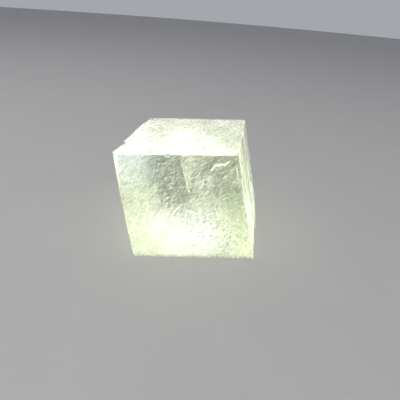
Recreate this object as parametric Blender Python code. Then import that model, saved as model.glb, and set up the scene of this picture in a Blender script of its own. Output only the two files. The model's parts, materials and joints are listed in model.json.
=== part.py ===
# Raw optical calcite crystal: one natural cleavage rhomb, resting on a whole
# cleavage face. Metres, +Z up, +X along the width, +Y towards the back.
# Origin: centre of the bounding box in plan, at the height of the rest face.
import math
import random

import bmesh
import bpy
from mathutils import Vector

for old in list(bpy.data.objects):
    bpy.data.objects.remove(old, do_unlink=True)

MM = 0.001

# ---- the mineral --------------------------------------------------------
BLUNT_ANGLE = 101.92          # obtuse plane angle of a calcite cleavage face, degrees
SHARP_ANGLE = 180.0 - BLUNT_ANGLE

# ---- the piece, in millimetres, measured along the three cleavage edges ------
WIDTH = 51.6                  # front bottom edge
DEPTH = 45.9                  # bottom edge running back
SLANT = 44.2                  # mean length of the four leaning edges
# a broken piece is never a perfect rhomb: fine steps make each face lean a
# little from its cleavage plane (degrees, along its first edge and across it)
LEAN = {
    "top": (-1.66, 0.77),
    "front": (0.00, 0.00),
    "back": (-0.94, 0.20),
    "right": (-0.46, 1.79),
    "left": (0.79, -0.84),
}
# ---- wear ---------------------------------------------------------------
EDGE_BREAK = 0.24             # width of the worn break along the long edges
CORNER_BREAK = 0.50           # width of the worn break on a corner
SCAR = 2.3                    # wedge lost from the upper front-left edge
STEP_DEEP, STEP_FINE = 0.46, 0.22   # heights of the cleavage steps
CHIPS_PER_EDGE = 4
SEED = 41


def unit(v):
    return Vector(v).normalized()


def lattice():
    """Unit vectors along the width, the depth and up the leaning edges."""
    sharp, blunt = math.radians(SHARP_ANGLE), math.radians(BLUNT_ANGLE)
    wide = Vector((1.0, 0.0, 0.0))
    deep = Vector((math.cos(sharp), math.sin(sharp), 0.0))
    x = math.cos(sharp)
    y = (math.cos(blunt) - deep.x * x) / deep.y
    down = Vector((x, y, -math.sqrt(1.0 - x * x - y * y)))
    return wide, deep, -down


WIDE, DEEP, RISE = lattice()


def leaned(normal, along, lean):
    """A face normal tipped by the two lean angles."""
    across = normal.cross(along)
    return unit(
        normal
        + along * math.tan(math.radians(lean[0]))
        + across * math.tan(math.radians(lean[1]))
    )


def face_planes():
    """Outward normal and a point of every face, the front-left bottom corner at zero."""
    flat = Vector((0.0, 0.0, 1.0))
    front = unit(RISE.cross(WIDE))
    if front.y > 0:
        front = -front
    right = unit(DEEP.cross(RISE))
    if right.x < 0:
        right = -right
    mid = (WIDE * WIDTH + DEEP * DEPTH) * 0.5
    return {
        "top": (leaned(flat, WIDE, LEAN["top"]), mid + RISE * SLANT),
        "front": (leaned(front, WIDE, LEAN["front"]), Vector((0, 0, 0))),
        "back": (leaned(-front, WIDE, LEAN["back"]), DEEP * DEPTH),
        "right": (leaned(right, DEEP, LEAN["right"]), WIDE * WIDTH),
        "left": (leaned(-right, DEEP, LEAN["left"]), Vector((0, 0, 0))),
        "bottom": (-flat, Vector((0, 0, 0))),
    }


PLANES = face_planes()


def meet(*names):
    """The corner where three faces meet."""
    (n1, p1), (n2, p2), (n3, p3) = (PLANES[n] for n in names)
    d1, d2, d3 = n1.dot(p1), n2.dot(p2), n3.dot(p3)
    return (n2.cross(n3) * d1 + n3.cross(n1) * d2 + n1.cross(n2) * d3) / n1.dot(
        n2.cross(n3)
    )


CORNERS = {
    (i, j, k): meet(i, j, k)
    for i in ("left", "right")
    for j in ("front", "back")
    for k in ("bottom", "top")
}
LOW = Vector([min(c[i] for c in CORNERS.values()) for i in range(3)])
HIGH = Vector([max(c[i] for c in CORNERS.values()) for i in range(3)])
SHIFT = Vector((-(LOW.x + HIGH.x) / 2, -(LOW.y + HIGH.y) / 2, 0.0))
for key in CORNERS:
    CORNERS[key] = CORNERS[key] + SHIFT
PLANES = {name: (n, p + SHIFT) for name, (n, p) in PLANES.items()}

PAIRS = [
    (a, b)
    for i, a in enumerate(PLANES)
    for b in list(PLANES)[i + 1 :]
    if {a, b} not in ({"top", "bottom"}, {"front", "back"}, {"left", "right"})
]


def edge_ends(a, b):
    """The two corners shared by faces a and b."""
    return [c for key, c in CORNERS.items() if a in key and b in key]


def slice_off(bm, point, normal):
    """Cut away everything beyond a plane and close the cut."""
    geom = bm.verts[:] + bm.edges[:] + bm.faces[:]
    cut = bmesh.ops.bisect_plane(
        bm, geom=geom, dist=1e-7, plane_co=point, plane_no=normal, clear_outer=True
    )
    rim = [e for e in cut["geom_cut"] if isinstance(e, bmesh.types.BMEdge)]
    rim = [e for e in rim if e.is_valid and len(e.link_faces) == 1]
    if rim:
        bmesh.ops.edgeloop_fill(bm, edges=rim)


def body_mesh():
    """The rhomb as six faces, with its edges and corners worn back."""
    draw = random.Random(SEED)
    bm = bmesh.new()
    bmesh.ops.create_cube(bm, size=400.0)
    for normal, point in PLANES.values():
        slice_off(bm, point, normal)
    for a, b in PAIRS:
        p, q = edge_ends(a, b)
        out = unit(PLANES[a][0] * draw.uniform(0.7, 1.3) + PLANES[b][0])
        width = EDGE_BREAK * draw.uniform(0.55, 1.25)
        run = unit(q - p)
        slope = draw.uniform(-0.0022, 0.0022)
        normal = unit(out + run * slope)
        slice_off(bm, (p + q) * 0.5 - out * width * 0.5, normal)
    for key, c in CORNERS.items():
        out = unit(sum((PLANES[k][0] * draw.uniform(0.6, 1.4) for k in key), Vector()))
        slice_off(bm, c - out * CORNER_BREAK * draw.uniform(0.5, 1.2), out)
    # the wedge-shaped scar: widest at the top-left-front corner, gone halfway down
    top = CORNERS[("left", "front", "top")]
    low = CORNERS[("left", "front", "bottom")]
    end = top.lerp(low, 0.42)
    inner = top + WIDE * SCAR - RISE * 0.2
    side = top + DEEP * SCAR * 0.55
    normal = unit((inner - end).cross(side - end))
    if normal.dot(PLANES["left"][0]) < 0:
        normal = -normal
    slice_off(bm, end, normal)
    bmesh.ops.remove_doubles(bm, verts=bm.verts, dist=1e-5)
    bmesh.ops.recalc_face_normals(bm, faces=bm.faces)
    return bm


def frame_box(bm, centre, axes, halves, skew=0.0):
    """A six-sided solid spanned by three directions, pinched a little by skew."""
    ring = []
    for sz in (-1, 1):
        for sx, sy in ((-1, -1), (1, -1), (1, 1), (-1, 1)):
            pinch = 1.0 - skew * (0.5 + 0.5 * sz)
            ring.append(
                bm.verts.new(
                    centre
                    + axes[0] * halves[0] * sx * pinch
                    + axes[1] * halves[1] * sy
                    + axes[2] * halves[2] * sz
                )
            )
    for loop in (
        (0, 3, 2, 1), (4, 5, 6, 7), (0, 1, 5, 4), (1, 2, 6, 5), (2, 3, 7, 6), (3, 0, 4, 7),
    ):
        bm.faces.new([ring[i] for i in loop])
    return ring


def object_of(name, bm):
    bmesh.ops.scale(bm, vec=(MM, MM, MM), verts=bm.verts)
    bmesh.ops.recalc_face_normals(bm, faces=bm.faces)
    mesh = bpy.data.meshes.new(name)
    bm.to_mesh(mesh)
    bm.free()
    obj = bpy.data.objects.new(name, mesh)
    bpy.context.scene.collection.objects.link(obj)
    return obj


def face_point(face, u, v):
    """A point of a leaning face: u along its bottom edge, v up it, both 0 to 1."""
    rails = {
        "front": (("left", "front"), ("right", "front")),
        "back": (("left", "back"), ("right", "back")),
        "left": (("left", "front"), ("left", "back")),
        "right": (("right", "front"), ("right", "back")),
    }[face]
    low = CORNERS[rails[0] + ("bottom",)].lerp(CORNERS[rails[1] + ("bottom",)], u)
    high = CORNERS[rails[0] + ("top",)].lerp(CORNERS[rails[1] + ("top",)], u)
    return low.lerp(high, v)


def step_cutters():
    """Thin plates split off the faces along the cleavage, leaving straight steps."""
    made = []

    def plate(face, u0, u1, v0, v1, deep, slip=0.0):
        bm = bmesh.new()
        n = PLANES[face][0]
        ring = [
            face_point(face, u0, v0), face_point(face, u1, v0),
            face_point(face, u1 + slip, v1), face_point(face, u0 + slip, v1),
        ]
        under = [bm.verts.new(p - n * deep) for p in ring]
        over = [bm.verts.new(p + n * 3.0) for p in ring]
        bm.faces.new(under[::-1])
        bm.faces.new(over)
        for i in range(4):
            j = (i + 1) % 4
            bm.faces.new((under[i], under[j], over[j], over[i]))
        made.append(object_of("plate_cut_%02d" % len(made), bm))

    # right face: the front half stands lower than the back half, in two treads
    plate("right", -0.2, 0.455, -0.2, 1.25, STEP_DEEP)
    plate("right", -0.2, 0.205, -0.2, 0.83, STEP_DEEP + STEP_FINE, 0.012)
    plate("right", 0.62, 0.78, 0.34, 1.25, STEP_FINE, -0.02)
    plate("right", 0.855, 1.25, -0.25, 0.52, STEP_FINE * 0.8, 0.008)
    # left face: one long tread near the back and a short one low at the front
    plate("left", 0.60, 1.25, -0.25, 1.25, STEP_FINE, 0.01)
    plate("left", 0.82, 1.25, 0.30, 1.25, STEP_FINE + 0.35, -0.015)
    plate("left", -0.25, 0.16, -0.25, 0.21, STEP_FINE * 0.9)
    # back face: a broad shallow plate and a narrow deeper one
    plate("back", 0.28, 1.25, 0.46, 1.25, STEP_FINE, 0.02)
    plate("back", 0.52, 0.86, 0.63, 1.25, STEP_DEEP, -0.01)
    plate("back", -0.25, 0.12, -0.25, 0.74, STEP_FINE * 1.2, 0.015)
    return made


def chip_cutters():
    """Small notches where flakes have left the edges, their walls along the cleavage."""
    draw = random.Random(SEED + 7)
    made = []

    def solid(at, axes, halves, skew):
        bm = bmesh.new()
        frame_box(bm, at, axes, halves, skew)
        made.append(object_of("chip_cut_%02d" % len(made), bm))

    for a, b in PAIRS:
        p, q = edge_ends(a, b)
        run = unit(q - p)
        out = unit(PLANES[a][0] + PLANES[b][0])
        # the other two cleavage edges bound a flake lost from this one
        others = [d for d in (WIDE, DEEP, RISE) if abs(d.dot(run)) < 0.9]
        others = [d if d.dot(out) > 0 else -d for d in others]
        for i in range(CHIPS_PER_EDGE):
            t = (i + draw.uniform(0.1, 0.9)) / CHIPS_PER_EDGE
            at = p.lerp(q, min(max(t, 0.04), 0.96))
            long = draw.uniform(0.35, 1.0) ** 2 * 3.4
            bite = draw.uniform(0.25, 0.72)
            if i % 2:
                # a slab step: long in one face, thin in the other
                first, second = others if draw.random() < 0.5 else others[::-1]
                deep = draw.uniform(0.9, 2.4)
                solid(
                    at + first * (1.5 - deep) + second * (1.5 - bite * 0.55),
                    (run, first, second), (long, 1.5, 1.5), draw.uniform(-0.2, 0.2),
                )
            else:
                # a wedge: a sloping floor that runs out into the edge
                turn = draw.uniform(-0.5, 0.5)
                side = unit(run.cross(out))
                lift = unit(out * math.cos(turn) + side * math.sin(turn))
                lift = unit(lift + run * draw.uniform(-0.22, 0.22))
                solid(
                    at - out * (EDGE_BREAK * 0.35 + bite * 0.55) + lift * 1.6,
                    (unit(run - lift * run.dot(lift)), unit(lift.cross(run)), lift),
                    (long * 0.8, 2.4, 1.6), draw.uniform(-0.4, 0.4),
                )
    # a sloping bite on the top-left edge, ending in a short steep wall
    p, q = (CORNERS[("left", f, "top")] for f in ("front", "back"))
    out = unit(PLANES["left"][0] + PLANES["top"][0])
    start, stop = p.lerp(q, 0.02), p.lerp(q, 0.27)
    tilt = unit(stop - out * 1.15 - start)
    lift = unit(out - tilt * out.dot(tilt))
    length = (stop - start).length
    solid(
        start + tilt * length * 0.5 + lift * 2.0,
        (tilt, unit(lift.cross(tilt)), lift), (length * 0.5, 3.0, 2.0), 0.0,
    )
    return made


def stone_material():
    mat = bpy.data.materials.new("calcite")
    mat.use_nodes = True
    shader = mat.node_tree.nodes["Principled BSDF"]
    shader.inputs["Base Color"].default_value = (0.80, 0.88, 0.76, 1.0)
    shader.inputs["Roughness"].default_value = 0.12
    shader.inputs["Metallic"].default_value = 0.0
    mat.diffuse_color = (0.80, 0.88, 0.76, 1.0)
    return mat


crystal = object_of("calcite_crystal", body_mesh())
crystal.data.materials.append(stone_material())
cutters = step_cutters() + chip_cutters()
for cutter in cutters:
    cutter.hide_render = True
    cutter.display_type = "WIRE"
    cut = crystal.modifiers.new(cutter.name, "BOOLEAN")
    cut.operation = "DIFFERENCE"
    cut.solver = "EXACT"
    cut.object = cutter

# the worn corners move the bounding box a little: centre it again in plan
bpy.context.view_layer.update()
graph = bpy.context.evaluated_depsgraph_get()
worn = crystal.evaluated_get(graph).to_mesh()
low = [min(v.co[i] for v in worn.vertices) for i in range(2)]
high = [max(v.co[i] for v in worn.vertices) for i in range(2)]
nudge = Vector((-(low[0] + high[0]) / 2, -(low[1] + high[1]) / 2, 0.0))
crystal.evaluated_get(graph).to_mesh_clear()
for obj in [crystal] + cutters:
    obj.location = nudge
print("nudge_mm", [round(c * 1000, 4) for c in nudge])
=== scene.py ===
# Looks of the raw optical calcite crystal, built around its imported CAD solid.
import json
import math
import random

import bmesh
import bpy
import numpy as np
from mathutils import Matrix, Vector

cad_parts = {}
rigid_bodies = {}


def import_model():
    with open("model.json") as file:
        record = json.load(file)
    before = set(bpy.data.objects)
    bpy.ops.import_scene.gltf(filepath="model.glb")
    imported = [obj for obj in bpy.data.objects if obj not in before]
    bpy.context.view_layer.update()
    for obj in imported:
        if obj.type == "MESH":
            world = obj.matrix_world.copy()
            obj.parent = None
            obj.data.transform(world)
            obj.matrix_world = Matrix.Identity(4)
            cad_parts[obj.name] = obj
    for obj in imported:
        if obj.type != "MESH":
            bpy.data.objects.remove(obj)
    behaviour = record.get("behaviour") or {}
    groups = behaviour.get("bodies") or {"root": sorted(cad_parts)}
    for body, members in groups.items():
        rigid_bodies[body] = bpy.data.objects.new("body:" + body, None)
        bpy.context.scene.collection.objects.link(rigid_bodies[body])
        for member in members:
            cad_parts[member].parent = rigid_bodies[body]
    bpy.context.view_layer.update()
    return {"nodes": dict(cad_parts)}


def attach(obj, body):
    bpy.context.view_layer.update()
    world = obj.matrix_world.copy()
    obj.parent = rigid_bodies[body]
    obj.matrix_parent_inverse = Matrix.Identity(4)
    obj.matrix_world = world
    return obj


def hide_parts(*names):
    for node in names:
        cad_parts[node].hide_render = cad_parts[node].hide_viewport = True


for old in list(bpy.data.objects):
    bpy.data.objects.remove(old, do_unlink=True)

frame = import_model()
scene = bpy.context.scene
MM = 0.001
NODE = frame["nodes"]["calcite_crystal"]

# ------------------------------------------------------------------ lattice
# The three cleavage edges of calcite, and the crystal's mean length along each.
SHARP, BLUNT = math.radians(78.08), math.radians(101.92)
WIDE = np.array([1.0, 0.0, 0.0])
DEEP = np.array([math.cos(SHARP), math.sin(SHARP), 0.0])
_y = (math.cos(BLUNT) - DEEP[0] * math.cos(SHARP)) / DEEP[1]
RISE = -np.array([math.cos(SHARP), _y, -math.sqrt(1 - math.cos(SHARP) ** 2 - _y * _y)])
UP = np.array([0.0, 0.0, 1.0])
SIZE = np.array([51.6, 45.9, 44.2]) * MM
INV = np.linalg.inv(np.stack([WIDE, DEEP, RISE], 1))


def unit(v):
    v = np.asarray(v, float)
    return v / np.linalg.norm(v)


N_FRONT = unit(np.cross(WIDE, RISE))
N_FRONT = N_FRONT if N_FRONT[1] < 0 else -N_FRONT
N_RIGHT = unit(np.cross(DEEP, RISE))
N_RIGHT = N_RIGHT if N_RIGHT[0] > 0 else -N_RIGHT
FACES = ["front", "back", "right", "left", "top", "bottom"]
NORMALS = np.stack([N_FRONT, -N_FRONT, N_RIGHT, -N_RIGHT, UP, -UP])
# the run of the strokes on each face: the lamellae cut the side faces along RISE
SIDE_RUN = unit(WIDE * 51.6 + RISE * 44.2)
FLAT_RUN = unit(WIDE + DEEP * 1.08)
RUNS = np.stack([SIDE_RUN, SIDE_RUN, unit(RISE + DEEP * 0.12), unit(RISE - DEEP * 0.10), FLAT_RUN, FLAT_RUN])


def link(obj):
    scene.collection.objects.link(obj)
    return obj


def blob(x, y, cx, cy, rx, ry, turn=0.0):
    """A soft round spot, 1 in its middle."""
    c, s = math.cos(math.radians(turn)), math.sin(math.radians(turn))
    dx, dy = x - cx, y - cy
    a, b = (dx * c + dy * s) / rx, (-dx * s + dy * c) / ry
    return np.exp(-(a * a + b * b))


def step(x, lo, hi):
    t = np.clip((x - lo) / (hi - lo), 0, 1)
    return t * t * (3 - 2 * t)


def grain_noise(p, seed):
    """Smooth noise from -1 to 1 at the points p, from hashed lattice values."""
    base = np.floor(p).astype(np.int64)
    f = p - base
    f = f * f * (3 - 2 * f)
    total = np.zeros(len(p))
    for corner in range(8):
        d = np.array([corner & 1, corner >> 1 & 1, corner >> 2 & 1])
        c = base + d
        h = (c[:, 0] * 73856093) ^ (c[:, 1] * 19349663) ^ (c[:, 2] * 83492791) ^ (seed * 2654435761)
        h = (h & 0xFFFFFFFF).astype(np.uint64)
        h = ((h ^ (h >> np.uint64(15))) * np.uint64(2246822519)) & np.uint64(0xFFFFFFFF)
        h = ((h ^ (h >> np.uint64(13))) * np.uint64(3266489917)) & np.uint64(0xFFFFFFFF)
        h = (h ^ (h >> np.uint64(16))).astype(float) / 4294967295.0
        total += (h * 2 - 1) * np.where(d, f, 1 - f).prod(1)
    return total


# ---------------------------------------------------------------- the body
def body_bmesh():
    """The CAD solid with its flat facets whole again, ready to be cut finely."""
    bm = bmesh.new()
    bm.from_mesh(NODE.data)
    bmesh.ops.remove_doubles(bm, verts=bm.verts, dist=2e-6)
    bmesh.ops.dissolve_limit(
        bm, angle_limit=math.radians(0.35), verts=bm.verts, edges=bm.edges,
        use_dissolve_boundaries=False,
    )
    bmesh.ops.recalc_face_normals(bm, faces=bm.faces)
    return bm


def main_planes(bm):
    """The plane of the widest facet on each of the six sides."""
    out = []
    for n in NORMALS:
        best = max(
            (f for f in bm.faces if float(np.dot(f.normal, n)) > 0.99), key=lambda f: f.calc_area()
        )
        out.append((np.array(best.normal), float(np.dot(best.normal, best.verts[0].co))))
    return out


def sharp_segments(bm, degrees):
    out = []
    for e in bm.edges:
        if len(e.link_faces) == 2 and e.calc_face_angle(0.0) > math.radians(degrees):
            out.append([v.co[:] for v in e.verts])
    return np.array(out, float)


def distance_to(points, segments):
    """Distance from each point to the nearest segment."""
    a, b = segments[:, 0], segments[:, 1]
    ab = b - a
    l2 = (ab * ab).sum(1) + 1e-18
    best = np.full(len(points), 1e9)
    for s in range(0, len(points), 4000):
        p = points[s : s + 4000]
        t = np.clip(((p[:, None] - a) * ab).sum(2) / l2, 0, 1)
        d = np.linalg.norm(p[:, None] - a - ab * t[..., None], axis=2)
        best[s : s + 4000] = d.min(1)
    return best


def cut_all(bm, at, normal):
    geom = bm.verts[:] + bm.edges[:] + bm.faces[:]
    bmesh.ops.bisect_plane(bm, geom=geom, dist=2e-6, plane_co=Vector(normal * at), plane_no=Vector(normal))


def slice_grid(bm, step):
    """Cut every facet along the three cleavages, so relief has vertices to move."""
    co = np.array([v.co[:] for v in bm.verts])
    for u, v in ((DEEP, RISE), (WIDE, RISE), (WIDE, DEEP)):
        normal = unit(np.cross(u, v))
        along = co @ normal
        lo, hi = along.min(), along.max()
        count = int((hi - lo) / step)
        for i in range(1, count + 1):
            cut_all(bm, lo + (i - 0.37) * (hi - lo) / (count + 0.26), normal)


body = body_bmesh()
PLANES = main_planes(body)
segments = sharp_segments(body, 24.0)
long_edges = segments[np.linalg.norm(segments[:, 1] - segments[:, 0], axis=1) > 2.2 * MM]
ORIGIN = np.array(min((v.co[:] for v in body.verts), key=lambda c: float((INV @ np.array(c)).sum())))
# the crack's plane: down the front from the top edge, leaning a little, and straight back
CRACK_TOP, CRACK_TIP, CRACK_H = 0.504, 0.528, 0.63
crack_way = WIDE * SIZE[0] * (CRACK_TIP - CRACK_TOP) - RISE * SIZE[2] * (1 - CRACK_H)
CRACK_N = unit(np.cross(DEEP, crack_way))
CRACK_D = float(np.dot(CRACK_N, ORIGIN + WIDE * SIZE[0] * CRACK_TOP + RISE * SIZE[2]))
slice_grid(body, (0.9) * MM)
for off in (-0.24, 0.0, 0.24):
    cut_all(body, CRACK_D + off * MM, CRACK_N)
# narrow strips beside the edges, for their wear
for n, d in PLANES:
    for inset in (0.14, 0.34):
        cut_all(body, d - inset * MM, n)
bmesh.ops.subdivide_edges(body, edges=body.edges[:], cuts=1, use_grid_fill=True)
bmesh.ops.triangulate(body, faces=[f for f in body.faces if len(f.verts) > 4])
body.normal_update()
mesh = bpy.data.meshes.new("crystal_body")
body.to_mesh(mesh)
body.free()
crystal = link(bpy.data.objects.new("crystal_body", mesh))

count = len(mesh.vertices)
co = np.empty(count * 3)
mesh.vertices.foreach_get("co", co)
co = co.reshape(-1, 3)
vn = np.empty(count * 3)
mesh.vertices.foreach_get("normal", vn)
vn = vn.reshape(-1, 3)
face_of = (vn @ NORMALS.T).argmax(1)
lat = (co - ORIGIN) @ INV.T / SIZE      # 0 to 1 along the width, the depth and the rise
print("body", count, "verts", len(mesh.polygons), "faces", len(long_edges), "long edges")

# --- relief: strokes pressed into each face, laminae on the two side faces
along = (co * RUNS[face_of]).sum(1)
across = (co * np.cross(NORMALS[face_of], RUNS[face_of])).sum(1)
layer = face_of * 17.3
warp = grain_noise(np.stack([along * 90, across * 90, layer], 1), 5) * 0.9 * MM
strokes = grain_noise(np.stack([along * 170, (across + warp) * 760, layer], 1), 11)
strokes = 0.6 * strokes + 0.4 * grain_noise(np.stack([along * 330, (across + warp) * 1050, layer], 1), 12)
swell = grain_noise(np.stack([along * 45, across * 120, layer + 4], 1), 13)
lamina = grain_noise(np.stack([along * 16, (across + warp * 0.5) * 330, layer + 8], 1), 14)
lamina = np.floor((lamina + 1) * 2.5) / 5.0
side = np.isin(face_of, (2, 3))
depth = np.where(side, 0.10 * lamina + 0.012 * (1 + strokes), 0.020 * (1 + strokes) + 0.012 * (1 + swell))
depth = np.where(face_of == 5, depth * 0.35, depth)
near = distance_to(co, segments)
near_long = distance_to(co, long_edges)
depth *= 0.25 + 0.75 * step(near_long, 0.1 * MM, 0.9 * MM)
# small nicks along the worn edges
nick = grain_noise(co * 900, 21) + 0.6 * grain_noise(co * 2300, 22)
depth += 0.16 * np.clip(nick - 0.15, 0, 1) * np.exp(-((near_long / (0.30 * MM)) ** 2))
depth += 0.07 * np.clip(1 - near_long / (0.45 * MM), 0, 1) ** 2
# the crack's mouth, a narrow groove down the front and a fainter one along the top
off = np.abs(co @ CRACK_N - CRACK_D) / (0.24 * MM)
mouth = np.where(face_of == 0, (0.55 + 0.45 * step(lat[:, 2], 1.0, 0.8)) * step(lat[:, 2], CRACK_H - 0.01, CRACK_H + 0.05), 0.0)
mouth = np.where(face_of == 4, 0.35 * step(lat[:, 1], 0.85, 0.7), mouth)
mouth = mouth * np.clip(1.6 - 1.6 * off, 0, 1)
depth += 0.09 * mouth
# painted highlight lines along the bright breaks near the upper right of the front: they only whiten the skin,
# through the mouth attribute
WAVE = [(0.72, 0.865), (0.74, 0.89), (0.765, 0.925), (0.785, 0.905), (0.805, 0.93), (0.83, 0.917), (0.85, 0.94), (0.875, 0.962)]
DASHES = [(0.668, 0.785, 0.71, 0.765), (0.69, 0.803, 0.728, 0.797), (0.601, 0.962, 0.612, 0.965)]
lines = [a + b for a, b in zip(WAVE, WAVE[1:])] + DASHES
lines = np.array([[[a * SIZE[0], b * SIZE[2], 0], [c * SIZE[0], d * SIZE[2], 0]] for a, b, c, d in lines])
flat_at = np.stack([lat[:, 0] * SIZE[0], lat[:, 2] * SIZE[2], np.zeros(count)], 1)
painted_highlight_lines = 0.6 * np.clip(1.2 - distance_to(flat_at, lines) / (0.30 * MM), 0, 1) * (face_of == 0)
mouth = np.maximum(mouth, painted_highlight_lines)
moved = co - vn * (depth * MM)[:, None]
moved[:, 2] = np.where(face_of == 5, np.maximum(moved[:, 2], 0), moved[:, 2])
mesh.vertices.foreach_set("co", moved.ravel())


# --- how cloudy the stone is just under each part of its skin
def haze_field(lat, face, co):
    u, w, h = lat[:, 0], lat[:, 1], lat[:, 2]
    cloud = grain_noise(co * 75, 31) * 0.6 + grain_noise(co * 160, 32) * 0.4
    out = np.where(face == 3, 0.22, 0.28) + 0.24 * cloud + 0.18 * blob(u, h, 0.55, 0.35, 0.3, 0.3) * (face == 1)
    front = 0.34 + 0.16 * cloud - 0.07 * step(u, 0.5, 0.75) * step(h, 0.45, 0.7)
    # a clear window that ends at the crack, a clouded upper left corner and left side
    beyond = step(u, 0.503 + 0.066 * (1 - h), 0.511 + 0.066 * (1 - h)) * step(h, 0.60, 0.72)
    window = blob(u, h, 0.38, 0.80, 0.14, 0.24, 10) + 0.8 * blob(u, h, 0.45, 0.62, 0.09, 0.13) + 0.7 * blob(u, h, 0.42, 0.97, 0.12, 0.10)
    front -= 0.46 * np.minimum(window, 1) * (1 - beyond)
    front += 0.46 * blob(u, h, 0.0, 1.0, 0.17, 0.26, -30)
    front += 0.50 * blob(u, h, 0.0, 0.30, 0.22, 0.60)
    front += 0.34 * blob(u, h, 0.58, 0.50, 0.17, 0.11, 30)
    front += 0.16 * step(h, 0.17, 0.04)
    front -= 0.26 * blob(u, h, 0.79, 0.95, 0.16, 0.13, 15)
    front -= 0.25 * blob(u, h, 0.80, 0.912, 0.11, 0.035, 22)
    front -= 0.20 * blob(u, h, 0.70, 0.79, 0.05, 0.03, 0)
    front -= 0.20 * blob(u, h, 0.605, 0.975, 0.03, 0.025, 0)
    front -= 0.12 * blob(u, h, 0.84, 0.64, 0.12, 0.18, 25)
    top = 0.66 + 0.12 * cloud + 0.30 * step(w, 0.50, 0.88) + 0.10 * step(u, 0.75, 0.95)
    fence = 0.27 - 0.26 * w
    patch = step(u, fence - 0.012, fence + 0.015) * step(u, fence + 0.30, fence + 0.12)
    top -= 0.40 * patch * (0.7 + 0.5 * cloud) * step(w, 0.08, 0.30)
    top -= 0.22 * blob(u, w, 0.80, 0.55, 0.17, 0.45, 20)
    top -= 0.25 * blob(u, w, 0.58, 0.80, 0.07, 0.25)
    top += 0.28 * blob(u, w, 0.47, 0.6, 0.08, 0.5) + 0.22 * step(u, 0.22, 0.05)
    flank = 0.20 + 0.15 * cloud
    out = np.where(face == 0, front, out)
    out = np.where(face == 4, top, out)
    out = np.where(face == 2, flank, out)
    return np.clip(out, 0.0, 0.95)


def tint_and_painted_light_field(lat, face):
    """The stone's faint tints, yellowish over the right of the front and greener at the left, mixed with painted
    light: painted shade in the clear window, painted daylight at the upper left, painted glare low in the middle of
    the front, a painted cool reflection over the top.
    """
    u, h = lat[:, 0], lat[:, 2]
    tint = np.ones((len(u), 4))
    front = face == 0
    # painted shade: a brownish cast for the dark backdrop seen through the clear window
    painted_backdrop_shade = blob(u, h, 0.43, 0.63, 0.13, 0.16) * front
    # painted daylight: a cool cast over the upper left of the front
    painted_daylight = blob(u, h, 0.08, 0.98, 0.24, 0.22) * front
    warm = step(u, 0.62, 0.95) * 0.9 * front
    green = step(u, 0.34, 0.10) * step(h, 0.90, 0.6) * front
    # painted glare: whiter low in the middle of the front, where the light beneath is strongest
    pale = blob(u, h, 0.50, 0.26, 0.30, 0.24) * front
    # painted reflection: a cool cast over the whole top face
    painted_sky_reflection = (face == 4) * 1.0
    for amount, colour in ((painted_backdrop_shade, (0.97, 0.90, 0.89)), (painted_daylight, (0.93, 1.0, 1.10)), (warm, (0.98, 1.0, 0.87)), (green, (0.96, 1.0, 0.92)), (pale, (1.01, 1.0, 1.14)), (painted_sky_reflection, (1.01, 1.0, 1.10))):
        tint[:, :3] *= 1 + amount[:, None] * (np.array(colour) - 1)
    return tint


def put_float(mesh, name, values, domain="POINT"):
    attribute = mesh.attributes.new(name, "FLOAT", domain)
    attribute.data.foreach_set("value", np.asarray(values, np.float32))


put_float(mesh, "wear", np.exp(-((near_long / (0.20 * MM)) ** 2)) + 0.35 * np.exp(-((near / (0.16 * MM)) ** 2)))
put_float(mesh, "haze", haze_field(lat, face_of, co))
# mouth: the crack's mouth, and the painted highlight lines over the bright breaks
put_float(mesh, "mouth", mouth)
streak = np.where(face_of == 4, 1.7, 1.1) - 0.3 * (face_of == 0) * step(lat[:, 0], 0.70, 0.92)
streak += 0.22 * (face_of == 0) * blob(lat[:, 0], lat[:, 2], 0.40, 0.78, 0.14, 0.28)
put_float(mesh, "streak", streak)
# stone tints, with painted shade, painted daylight, painted glare and a painted sky reflection in them
attribute = mesh.attributes.new("tint_and_painted_light", "FLOAT_COLOR", "POINT")
attribute.data.foreach_set("color", tint_and_painted_light_field(lat, face_of).astype(np.float32).ravel())
speckle = np.where(face_of == 0, blob(lat[:, 0], lat[:, 2], 0.66, 0.28, 0.34, 0.26), 0.25)
put_float(mesh, "speckle", np.clip(speckle * 1.2, 0, 1))
# grain: where each corner lies along and across the strokes of its own face
loops = len(mesh.loops)
vert_of = np.empty(loops, np.int32)
mesh.loops.foreach_get("vertex_index", vert_of)
pn = np.empty(len(mesh.polygons) * 3)
mesh.polygons.foreach_get("normal", pn)
poly_face = (pn.reshape(-1, 3) @ NORMALS.T).argmax(1)
totals = np.empty(len(mesh.polygons), np.int32)
mesh.polygons.foreach_get("loop_total", totals)
loop_face = np.repeat(poly_face, totals)
p = co[vert_of]
grain = np.stack(
    [
        (p * RUNS[loop_face]).sum(1),
        (p * np.cross(NORMALS[loop_face], RUNS[loop_face])).sum(1),
        loop_face * 0.11,
    ],
    1,
)
attribute = mesh.attributes.new("grain", "FLOAT_VECTOR", "CORNER")
attribute.data.foreach_set("vector", grain.astype(np.float32).ravel())
put_float(mesh, "flank", np.isin(loop_face, (2, 3)).astype(float), "CORNER")
mesh.update()
mesh.shade_smooth()
mesh.set_sharp_from_angle(angle=math.radians(32))


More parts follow.
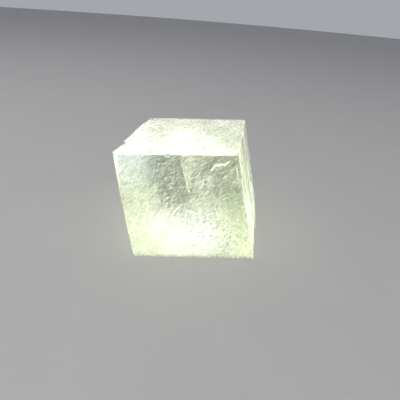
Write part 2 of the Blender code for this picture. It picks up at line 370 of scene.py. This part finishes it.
# --------------------------------------------------------------- materials
class Nodes:
    """A short way to wire shader nodes."""

    def __init__(self, name):
        self.mat = bpy.data.materials.new(name)
        self.mat.use_nodes = True
        self.tree = self.mat.node_tree
        self.tree.nodes.clear()

    def add(self, kind, **inputs):
        node = self.tree.nodes.new(kind)
        for key, value in inputs.items():
            if hasattr(node, key) and not key[0].isupper():
                setattr(node, key, value)
                continue
            self.put(node, key.replace("_", " "), value)
        return node

    def put(self, node, key, value):
        socket = node.inputs[int(key[1:])] if key[0] == "#" else node.inputs[key]
        if isinstance(value, bpy.types.NodeSocket):
            self.tree.links.new(value, socket)
        elif isinstance(value, bpy.types.Node):
            self.tree.links.new(value.outputs[0], socket)
        else:
            socket.default_value = value

    def math(self, op, a, b=0.0, clamp=False):
        n = self.tree.nodes.new("ShaderNodeMath")
        n.operation, n.use_clamp = op, clamp
        self.put(n, "#0", a)
        self.put(n, "#1", b)
        return n.outputs[0]

    def sum(self, *terms):
        """Each term is a socket times a weight, or a plain number."""
        total = None
        for term in terms:
            part = self.math("MULTIPLY", term[0], term[1]) if isinstance(term, tuple) else term
            total = part if total is None else self.math("ADD", total, part)
        return total

    def ramp(self, value, lo, hi, a=0.0, b=1.0):
        n = self.tree.nodes.new("ShaderNodeMapRange")
        n.interpolation_type = "SMOOTHSTEP"
        self.put(n, "Value", value)
        for key, x in (("From Min", lo), ("From Max", hi), ("To Min", a), ("To Max", b)):
            self.put(n, key, x)
        return n.outputs[0]

    def mix(self, factor, a, b, mode="MIX"):
        n = self.tree.nodes.new("ShaderNodeMix")
        n.data_type, n.blend_type = "RGBA", mode
        self.put(n, "#0", factor)
        self.put(n, "#6", a)
        self.put(n, "#7", b)
        return n.outputs[2]

    def noise(self, vector, scale, detail=3.0, rough=0.55, distortion=0.0, colour=False):
        n = self.tree.nodes.new("ShaderNodeTexNoise")
        self.put(n, "Vector", vector)
        self.put(n, "Scale", scale)
        self.put(n, "Detail", detail)
        self.put(n, "Roughness", rough)
        self.put(n, "Distortion", distortion)
        return n.outputs[1 if colour else 0]

    def coords(self):
        return self.tree.nodes.new("ShaderNodeTexCoord").outputs["Object"]

    def attribute(self, name, out="Fac"):
        return self.add("ShaderNodeAttribute", attribute_name=name).outputs[out]

    def vector(self, op, a, b):
        n = self.tree.nodes.new("ShaderNodeVectorMath")
        n.operation = op
        self.put(n, "#0", a)
        self.put(n, "#1", b)
        return n.outputs[0]

    def scaled(self, vector, x, y, z, turn=0.0, shift=0.0):
        n = self.tree.nodes.new("ShaderNodeMapping")
        self.put(n, "Vector", vector)
        if turn:
            first = self.tree.nodes.new("ShaderNodeMapping")
            self.put(first, "Vector", vector)
            first.inputs["Rotation"].default_value = (0, 0, math.radians(turn))
            self.put(n, "Vector", first.outputs[0])
        n.inputs["Scale"].default_value = (x, y, z)
        n.inputs["Location"].default_value = (shift, shift * 0.7, shift * 1.3)
        return n.outputs[0]


def crystal_material():
    m = Nodes("calcite")
    here = m.coords()
    grain = m.attribute("grain", "Vector")
    # the strokes swing a little, so they cross and feather
    swing = m.vector("SUBTRACT", m.noise(here, 85.0, 2.0, 0.5, colour=True), (0.5, 0.5, 0.5))
    swing = m.vector("MULTIPLY", swing, (0.0, 0.0026, 0.0))
    grain = m.vector("ADD", grain, swing)
    broad = m.noise(m.scaled(grain, 40.0, 210.0, 400.0, 0, 2.0), 1.0, 2.0, 0.5, 0.4)
    mid = m.noise(m.scaled(grain, 300.0, 2000.0, 400.0, 0, 5.0), 1.0, 3.0, 0.65, 0.2)
    cross = m.noise(m.scaled(grain, 340.0, 2000.0, 400.0, 22.0, 9.0), 1.0, 2.0, 0.6, 0.2)
    fine = m.noise(m.scaled(grain, 600.0, 3300.0, 400.0, 0, 7.0), 1.0, 2.0, 0.7, 0.1)
    dash = m.noise(m.scaled(grain, 440.0, 2900.0, 400.0, -6.0, 12.0), 1.0, 1.0, 0.5)
    dash2 = m.noise(m.scaled(grain, 520.0, 3000.0, 400.0, 30.0, 15.0), 1.0, 1.0, 0.5)
    grit = m.noise(here, 1500.0, 2.0, 0.6)
    cloud = m.noise(here, 70.0, 3.0, 0.55, 0.6)
    # short bright scratches and short dark ones
    scratch = m.sum((m.ramp(dash, 0.57, 0.68), 0.42), (m.ramp(dash2, 0.58, 0.69), 0.34), (m.ramp(dash, 0.43, 0.33), -0.28))
    relief = m.sum((mid, 0.8), (cross, 0.5), (fine, 0.5), (dash, 0.35), (broad, 0.7), (grit, 0.10))
    wear = m.attribute("wear")
    flank = m.attribute("flank")
    laminae = m.noise(m.scaled(grain, 14.0, 620.0, 400.0, 0, 3.0), 1.0, 3.0, 0.7, 0.1)
    laminae = m.math("MULTIPLY", m.math("SUBTRACT", laminae, 0.5), m.math("MULTIPLY", flank, 1.8))
    spots = m.add("ShaderNodeTexVoronoi", voronoi_dimensions="2D", Vector=grain, Scale=520.0)
    chosen = m.math("GREATER_THAN", m.add("ShaderNodeSeparateColor", Color=spots.outputs["Color"]).outputs[0], 0.35)
    round_ = m.ramp(m.sum((spots.outputs["Distance"], 1.0), (fine, 0.28)), 0.26, 0.36, 1.0, 0.0)
    spot = m.math("MULTIPLY", m.math("MULTIPLY", chosen, round_), m.attribute("speckle"))
    streaks = m.sum((mid, 0.9), (fine, 1.4), (cross, 0.5), (broad, 0.6), scratch, -1.74)
    haze = m.sum(m.attribute("haze"), m.math("MULTIPLY", streaks, m.attribute("streak")), laminae)
    broken = m.ramp(m.sum((grit, 0.5), (fine, 0.5)), 0.34, 0.50, 0.55, 1.0)
    # edge whitening: worn edges, the crack's mouth and the painted highlight lines
    edge = m.math("MULTIPLY", m.math("MAXIMUM", wear, m.attribute("mouth")), broken)
    haze = m.math("MAXIMUM", haze, edge, True)
    share = m.math("ADD", m.math("MULTIPLY", haze, SHARE[1] - SHARE[0]), SHARE[0])
    tint = m.mix(m.ramp(cloud, 0.35, 0.65), (0.66, 0.78, 0.58, 1), (0.72, 0.80, 0.68, 1))
    # these tints include painted light: shade in the clear window, daylight at the upper left, glare low in the
    # middle, a cool reflection on top
    tint_and_painted_light = m.attribute("tint_and_painted_light", "Color")
    tint = m.mix(m.ramp(m.sum((mid, 0.4), (fine, 0.6)), 0.40, 0.57), (0.34, 0.40, 0.31, 1), tint)
    colour = m.mix(1.0, m.mix(haze, tint, (0.98, 0.98, 0.90, 1)), tint_and_painted_light, "MULTIPLY")
    colour = m.mix(spot, colour, (0.04, 0.05, 0.03, 1))
    rough = m.ramp(fine, 0.3, 0.7, 0.16, 0.30)
    bump = m.add("ShaderNodeBump", Strength=1.0, Distance=BUMP, Height=relief)
    emboss = m.add("ShaderNodeBump", Strength=1.0, Distance=EMBOSS, Height=relief)
    shader = m.add("ShaderNodeBsdfPrincipled")
    m.put(shader, "Base Color", colour)
    m.put(shader, "Roughness", rough)
    m.put(shader, "IOR", 1.6)
    m.put(shader, "Transmission Weight", m.ramp(haze, 0.4, 1.0, 1.0, 0.85))
    m.put(shader, "Normal", bump.outputs[0])
    glow = m.mix(m.ramp(haze, 0.1, 0.8), (0.92, 0.97, 0.79, 1), (1.0, 0.99, 0.90, 1))
    glow = m.mix(1.0, glow, tint_and_painted_light, "MULTIPLY")
    glow = m.mix(spot, glow, (0.07, 0.08, 0.055, 1))
    through = m.add("ShaderNodeBsdfTranslucent", Color=glow)
    m.put(through, "Normal", emboss.outputs[0])
    skin = m.add("ShaderNodeMixShader")
    m.put(skin, "#0", share)
    m.put(skin, "#1", shader.outputs[0])
    m.put(skin, "#2", through.outputs[0])
    path = m.add("ShaderNodeLightPath")
    open_ = m.add("ShaderNodeBsdfTransparent", Color=(0.95, 0.98, 0.92, 1))
    both = m.add("ShaderNodeMixShader")
    m.put(both, "#0", path.outputs["Is Shadow Ray"])
    m.put(both, "#1", skin.outputs[0])
    m.put(both, "#2", open_.outputs[0])
    out = m.add("ShaderNodeOutputMaterial")
    m.put(out, "Surface", both.outputs[0])
    return m.mat


SHARE = (0.02, 0.92)
BUMP, EMBOSS = 0.00013, 0.0008
LAMP_CORE, LAMP_RIM = 1.35, 1.3
WASH, BEAM, CORNER, EDGE = 0.088, 0.010, 0.0055, 0.014
mesh.materials.append(crystal_material())
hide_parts("calcite_crystal")
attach(crystal, "root")


# ------------------------------------------------------- breaks in the stone
def inside(points, margin):
    return all(float(np.dot(n, p)) < d - margin for p in points for n, d in PLANES)


def plate(store, centre, run, face, length, width, thick, margin=0.34 * MM):
    """One closed sliver: long along run, flat against face. Kept if it lies inside."""
    run = unit(run - face * np.dot(run, face))
    wide = np.cross(face, run)
    tips = [
        centre + run * length, centre - run * length, centre + wide * width,
        centre - wide * width, centre + face * thick, centre - face * thick,
    ]
    if inside(tips, margin):
        store.append(tips)
        return True
    return False


def spindle_piece(name, store, material):
    verts = np.array(store).reshape(-1, 3)
    faces = []
    for i in range(len(store)):
        a, b, c, d, e, f = range(i * 6, i * 6 + 6)
        for p, q in ((a, c), (c, b), (b, d), (d, a)):
            faces += [(p, q, e), (q, p, f)]
    data = bpy.data.meshes.new(name)
    data.from_pydata([tuple(v) for v in verts], [], faces)
    data.update()
    bm = bmesh.new()
    bm.from_mesh(data)
    bmesh.ops.recalc_face_normals(bm, faces=bm.faces)
    bm.to_mesh(data)
    bm.free()
    data.materials.append(material)
    obj = link(bpy.data.objects.new(name, data))
    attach(obj, "root")
    print(name, len(store), "pieces", len(faces), "faces")
    return obj


def at(u, w, h):
    """A point inside, by its share of the width, the depth and the rise."""
    return ORIGIN + WIDE * SIZE[0] * u + DEEP * SIZE[1] * w + RISE * SIZE[2] * h


def break_material(name, dark, light, through, metal=0.0, painted_glow=0.0):
    """The rough wall of a break: bright where it faces the light, with a little grain. A nonzero last argument adds
    emission, a painted glint that glows without any lamp.
    """
    m = Nodes(name)
    here = m.coords()
    tone = m.mix(m.ramp(m.noise(here, 900.0, 3.0, 0.6), 0.35, 0.65), dark + (1,), light + (1,))
    shader = m.add("ShaderNodeBsdfPrincipled")
    m.put(shader, "Base Color", tone)
    m.put(shader, "Roughness", 0.34)
    m.put(shader, "Metallic", metal)
    # emission: a painted glint, so these flakes glow though they are no lamp
    if painted_glow:
        m.put(shader, "Emission Color", (0.98, 1.0, 0.95, 1))
        m.put(shader, "Emission Strength", painted_glow)
    lit = m.add("ShaderNodeBsdfTranslucent", Color=tone)
    both = m.add("ShaderNodeMixShader")
    m.put(both, "#0", through)
    m.put(both, "#1", shader.outputs[0])
    m.put(both, "#2", lit.outputs[0])
    out = m.add("ShaderNodeOutputMaterial")
    m.put(out, "Surface", both.outputs[0])
    return m.mat


WHITE = break_material("break_white", (0.88, 0.92, 0.86), (0.99, 0.99, 0.97), 0.88)
# flake material: near white, with faint emission as a painted glint
PAINTED_GLOW = break_material("break_painted_glow", (0.92, 0.95, 0.90), (0.99, 0.99, 0.97), 0.5, 0.0, 0.45)
DARK = break_material("speck_dark", (0.10, 0.11, 0.07), (0.26, 0.27, 0.18), 0.1)
draw = random.Random(907)

# slivers: thin splits just under the skin, along the strokes of each face
slivers = []
for k, total in enumerate((760, 420, 300, 300, 520, 160)):
    n, run = NORMALS[k], RUNS[k]
    made = 0
    while made < total:
        a, b, deep = draw.random(), draw.random(), 0.35 + 1.9 * draw.random() ** 2
        spot = {0: (a, 0, b), 1: (a, 1, b), 2: (1, a, b), 3: (0, a, b), 4: (a, b, 1), 5: (a, b, 0)}[k]
        p = at(*spot)
        d = PLANES[k][1] - float(np.dot(PLANES[k][0], p))
        p = p + PLANES[k][0] * (d - deep * MM)
        if k < 2 and grain_noise(np.array([p * 120]), 41)[0] < draw.uniform(-0.9, 0.5):
            continue
        turn = math.radians(draw.gauss(0, 9))
        wide = np.cross(n, run)
        way = run * math.cos(turn) + wide * math.sin(turn)
        flat = unit(n + UP * draw.uniform(-0.1, 0.9) + wide * draw.uniform(-0.4, 0.4))
        made += 1
        plate(
            slivers, p, way, flat, draw.uniform(0.5, 2.4) * MM,
            draw.uniform(0.05, 0.15) * MM, 0.02 * MM,
        )
spindle_piece("fine_splits", slivers, WHITE)

# the cleavage crack: a sheet in the plane of the side faces, deep at the top edge,
# running out a third of the way down the front
crack = []
pitch = 0.42 * MM
rows, cols = int(SIZE[2] * 0.42 / pitch), int(SIZE[1] * 0.9 / pitch)
for i in range(rows):
    down = (i + 0.5) / rows
    for j in range(cols):
        back = (j + 0.5) / cols
        # the sheet is a triangle with its tip low on the front face
        room = 1.0 - down - back
        edge = 0.06 * math.sin(9 * down + 3) + 0.05 * math.sin(23 * back)
        if room + edge < 0:
            continue
        chance = 0.95 if back < 0.035 or down < 0.02 else 0.30 + 0.35 * max(0.0, room)
        if draw.random() > chance:
            continue
        p = at(0.504 + 0.024 * down, 0.0, 1.0 - 0.37 * down) + DEEP * SIZE[1] * 0.88 * back
        p = p + N_RIGHT * draw.gauss(0, 0.04) * MM + DEEP * 0.4 * MM
        plate(
            crack, p, unit(RISE + DEEP * draw.uniform(-0.5, 0.5)), unit(N_RIGHT + DEEP * draw.uniform(-0.15, 0.15)),
            draw.uniform(0.25, 0.5) * MM, draw.uniform(0.12, 0.28) * MM, 0.025 * MM, 0.22 * MM,
        )
# its mouth along the front face, where the two walls stand a little apart
for i in range(150):
    down = draw.random()
    p = at(0.504 + 0.024 * down, 0.010 + 0.003 * draw.random(), 1.0 - 0.37 * down)
    plate(
        crack, p, unit(RISE + WIDE * draw.uniform(-0.05, 0.05)), unit(N_FRONT + UP * draw.uniform(0.2, 0.9)),
        draw.uniform(0.3, 0.9) * MM, draw.uniform(0.10, 0.22) * (1.3 - down) * MM, 0.03 * MM, 0.24 * MM,
    )
spindle_piece("cleavage_crack", crack, WHITE)

# a wavy string of flakes near the upper right of the front, and two short ones, glowing by emission: a painted
# glint
flakes = []
for (u0, h0), (u1, h1) in zip(WAVE, WAVE[1:]):
    for i in range(20):
        t = (i + draw.random()) / 20
        p = at(u0 + (u1 - u0) * t + draw.gauss(0, 0.003), 0.010 + 0.005 * draw.random(), h0 + (h1 - h0) * t + draw.gauss(0, 0.004))
        way = unit(WIDE * (u1 - u0) + RISE * (h1 - h0) + (WIDE + RISE) * abs(draw.gauss(0, 0.03)))
        plate(flakes, p, way, unit(N_FRONT + UP * draw.uniform(0.3, 1.0) + WIDE * draw.uniform(-0.2, 0.2)), draw.uniform(0.3, 0.7) * MM, draw.uniform(0.04, 0.11) * MM, 0.03 * MM, 0.2 * MM)
for u0, h0, u1, h1 in DASHES:
    for i in range(10):
        t = (i + draw.random()) / 10
        p = at(u0 + (u1 - u0) * t, 0.013, h0 + (h1 - h0) * t + draw.gauss(0, 0.003))
        plate(flakes, p, WIDE - RISE * 0.25, unit(N_FRONT + UP * draw.uniform(0.3, 1.0)), draw.uniform(0.25, 0.55) * MM, draw.uniform(0.08, 0.20) * MM, 0.04 * MM, 0.2 * MM)
spindle_piece("flakes_with_painted_glow", flakes, PAINTED_GLOW)

# healed veils: thin curved sheets of tiny flakes
veils = []
for centre, u, v, n, ru, rv, bend, total in (
    ((0.74, 0.40, 0.30), WIDE + RISE * 0.8, DEEP, None, 15.0, 12.0, 2.5, 460),
    ((0.30, 0.62, 0.62), WIDE * 0.6 + DEEP, RISE, None, 13.0, 11.0, -2.0, 380),
    ((0.66, 0.80, 0.72), WIDE - DEEP * 0.4, RISE + DEEP * 0.3, None, 12.0, 9.0, 2.0, 300),
    ((0.20, 0.25, 0.22), WIDE + DEEP * 0.5, RISE + WIDE * 0.3, None, 11.0, 8.0, 1.6, 260),
):
    u = unit(u)
    v = unit(v - u * np.dot(u, v))
    n = np.cross(u, v)
    for _ in range(total):
        a, b = draw.gauss(0, 0.45), draw.gauss(0, 0.45)
        p = at(*centre) + (u * a * ru + v * b * rv + n * bend * (a * a - b * b + draw.gauss(0, 0.10))) * MM
        size = draw.uniform(0.05, 0.17) * MM
        plate(veils, p, u + v * draw.uniform(-1, 1), unit(n + u * draw.gauss(0, 0.3) + v * draw.gauss(0, 0.3)), size * draw.uniform(1.0, 2.2), size, 0.25 * size)
spindle_piece("healed_veils", veils, WHITE)

# dark specks low in the front of the stone
specks = []
for _ in range(420):
    u, h = draw.uniform(0.12, 0.97), draw.uniform(0.03, 0.55)
    if draw.random() > float(blob(u, h, 0.64, 0.24, 0.30, 0.24)):
        continue
    p = at(u, draw.uniform(0.010, 0.028), h)
    size = draw.uniform(0.13, 0.25) * MM
    plate(specks, p, WIDE + RISE * draw.uniform(-1, 1), unit(N_FRONT + WIDE * draw.gauss(0, 0.4)), size * draw.uniform(1.0, 1.8), size, size * 0.6)
spindle_piece("dark_specks", specks, DARK)


# ------------------------------------------------------------------- stage
def plain(name, colour, rough=0.6):
    m = Nodes(name)
    here = m.coords()
    grain = m.noise(here, 30.0, 3.0)
    tone = m.mix(m.ramp(grain, 0.3, 0.7), tuple(c * 0.98 for c in colour) + (1,), colour + (1,))
    shader = m.add("ShaderNodeBsdfPrincipled")
    m.put(shader, "Base Color", tone)
    m.put(shader, "Roughness", rough)
    out = m.add("ShaderNodeOutputMaterial")
    m.put(out, "Surface", shader.outputs[0])
    return m.mat


LAMP = np.array([4.3, -5.8]) * MM          # middle of the face the crystal rests on
GLOW = np.array([-2.5, -5.5]) * MM          # brightest spot of the light under it


def rhomb_ring(wide, deep, z, count=96):
    """Points round a rhomb under the crystal, its sides along the two cleavage edges."""
    ring = []
    for i in range(count):
        t = 4.0 * i / count
        side, f = int(t), t - int(t)
        u, v = [(2 * f - 1, -1), (1, 2 * f - 1), (1 - 2 * f, 1), (-1, 1 - 2 * f)][side]
        p = WIDE[:2] * u * wide + DEEP[:2] * v * deep
        ring.append((LAMP[0] + p[0], LAMP[1] + p[1], z))
    return ring


def floor_mesh():
    """A floor with a well under the crystal that holds the light."""
    bm = bmesh.new()
    well = rhomb_ring(23.9 * MM, 21.1 * MM, 0.0)
    grid = [[bm.verts.new(p) for p in well]]
    for r in (0.05, 0.12, 0.3, 0.9, 2.4):
        ring = []
        for p in well:
            t = math.atan2(p[1] - LAMP[1], p[0] - LAMP[0])
            ring.append(bm.verts.new((LAMP[0] + r * math.cos(t), LAMP[1] + r * math.sin(t), 0.0)))
        grid.append(ring)
    count = len(well)
    for a, b in zip(grid, grid[1:]):
        for i in range(count):
            j = (i + 1) % count
            bm.faces.new((a[i], b[i], b[j], a[j]))
    low = [bm.verts.new((v.co.x, v.co.y, -0.003)) for v in grid[0]]
    for i in range(count):
        j = (i + 1) % count
        bm.faces.new((grid[0][j], low[j], low[i], grid[0][i]))
    mesh = bpy.data.meshes.new("floor")
    bm.to_mesh(mesh)
    bm.free()
    return mesh


floor = link(bpy.data.objects.new("floor", floor_mesh()))
floor.data.materials.append(plain("pale_floor", (0.43, 0.42, 0.41)))


def lamp_material():
    """White in the middle, falling to a dim warm green at the rim."""
    m = Nodes("lamp_glow")
    offset = m.vector("SUBTRACT", m.coords(), (GLOW[0], GLOW[1], -0.0028))
    length = m.add("ShaderNodeVectorMath", operation="LENGTH")
    m.put(length, "#0", offset)
    fall = m.ramp(length.outputs["Value"], 0.007, 0.028, 1.0, 0.0)
    shader = m.add("ShaderNodeEmission")
    m.put(shader, "Color", m.mix(fall, (0.90, 1.0, 0.55, 1), (1.0, 1.0, 0.98, 1)))
    m.put(shader, "Strength", m.sum((fall, LAMP_CORE), LAMP_RIM))
    out = m.add("ShaderNodeOutputMaterial")
    m.put(out, "Surface", shader.outputs[0])
    return m.mat


bm = bmesh.new()
bm.faces.new([bm.verts.new(p) for p in rhomb_ring(23.7 * MM, 20.9 * MM, -0.0028)])
panel = bpy.data.meshes.new("lamp")
bm.to_mesh(panel)
bm.free()
lamp = link(bpy.data.objects.new("lamp", panel))
lamp.data.materials.append(lamp_material())

world = bpy.data.worlds.new("studio")
scene.world = world
world.use_nodes = True
world.node_tree.nodes["Background"].inputs["Color"].default_value = (0.62, 0.64, 0.70, 1)
world.node_tree.nodes["Background"].inputs["Strength"].default_value = 0.6


def area(name, at, aim, size, power, colour=(1, 1, 1)):
    data = bpy.data.lights.new(name, "AREA")
    data.shape, data.size, data.energy, data.color = "DISK", size, power, colour
    obj = link(bpy.data.objects.new(name, data))
    obj.location = at
    obj.rotation_euler = (Vector(aim) - Vector(at)).to_track_quat("-Z", "Y").to_euler()
    return obj


def under(name, wide, deep, power, spread, colour, way=UP, shift=(0, 0)):
    """A light in the well that lights the stone's breaks and skin but isn't seen through it."""
    data = bpy.data.lights.new(name, "AREA")
    data.shape, data.size, data.size_y = "RECTANGLE", wide * MM, deep * MM
    data.energy, data.spread, data.color = power, math.radians(spread), colour
    obj = link(bpy.data.objects.new(name, data))
    obj.location = (LAMP[0] + shift[0] * MM, LAMP[1] + shift[1] * MM, -0.0016)
    obj.rotation_euler = Vector(way).to_track_quat("-Z", "Y").to_euler()
    obj.visible_camera = obj.visible_transmission = obj.visible_glossy = False
    return obj


under("wash", 37, 38, WASH, 180, (0.97, 1.0, 0.92), shift=(-8.5, -2.5))
under("edge", 6, 26, EDGE, 180, (0.98, 1.0, 0.86), shift=(-22, -8))
under("beam", 32, 36, BEAM, 55, (0.98, 1.0, 0.96), way=unit(RISE - WIDE * 0.12), shift=(-5, 0))
under("corner", 16, 18, CORNER, 36, (0.90, 0.96, 1.0), way=unit(np.array([-0.54, -0.26, 0.80])), shift=(-9, -3))
area("key", (-0.45, -0.25, 0.75), (0, 0, 0.02), 0.5, 4.5)
area("fill", (0.6, -0.5, 0.5), (0, 0, 0.02), 0.6, 1.6, (1.0, 0.97, 0.93))

# ------------------------------------------------------------------ camera
cam_data = bpy.data.cameras.new("camera")
camera = link(bpy.data.objects.new("camera", cam_data))
scene.camera = camera
right = Vector((0.99679, -0.04011, 0.06935)).normalized()
down = Vector((0.0382, -0.52288, -0.85155))
down = (down - right * down.dot(right)).normalized()
forward = right.cross(down)
basis = Matrix((right, -down, -forward)).transposed()
camera.matrix_world = Matrix.Translation(Vector((-0.011224, -0.123879, 0.090516))) @ basis.to_4x4()
cam_data.sensor_width = 36.0
cam_data.lens = 36.0 * 305.98 / 400.0
cam_data.shift_x, cam_data.shift_y = 0.0141, -0.0196
cam_data.clip_start, cam_data.clip_end = 0.005, 20.0

scene.view_settings.view_transform = "Standard"
scene.view_settings.exposure = 0.0
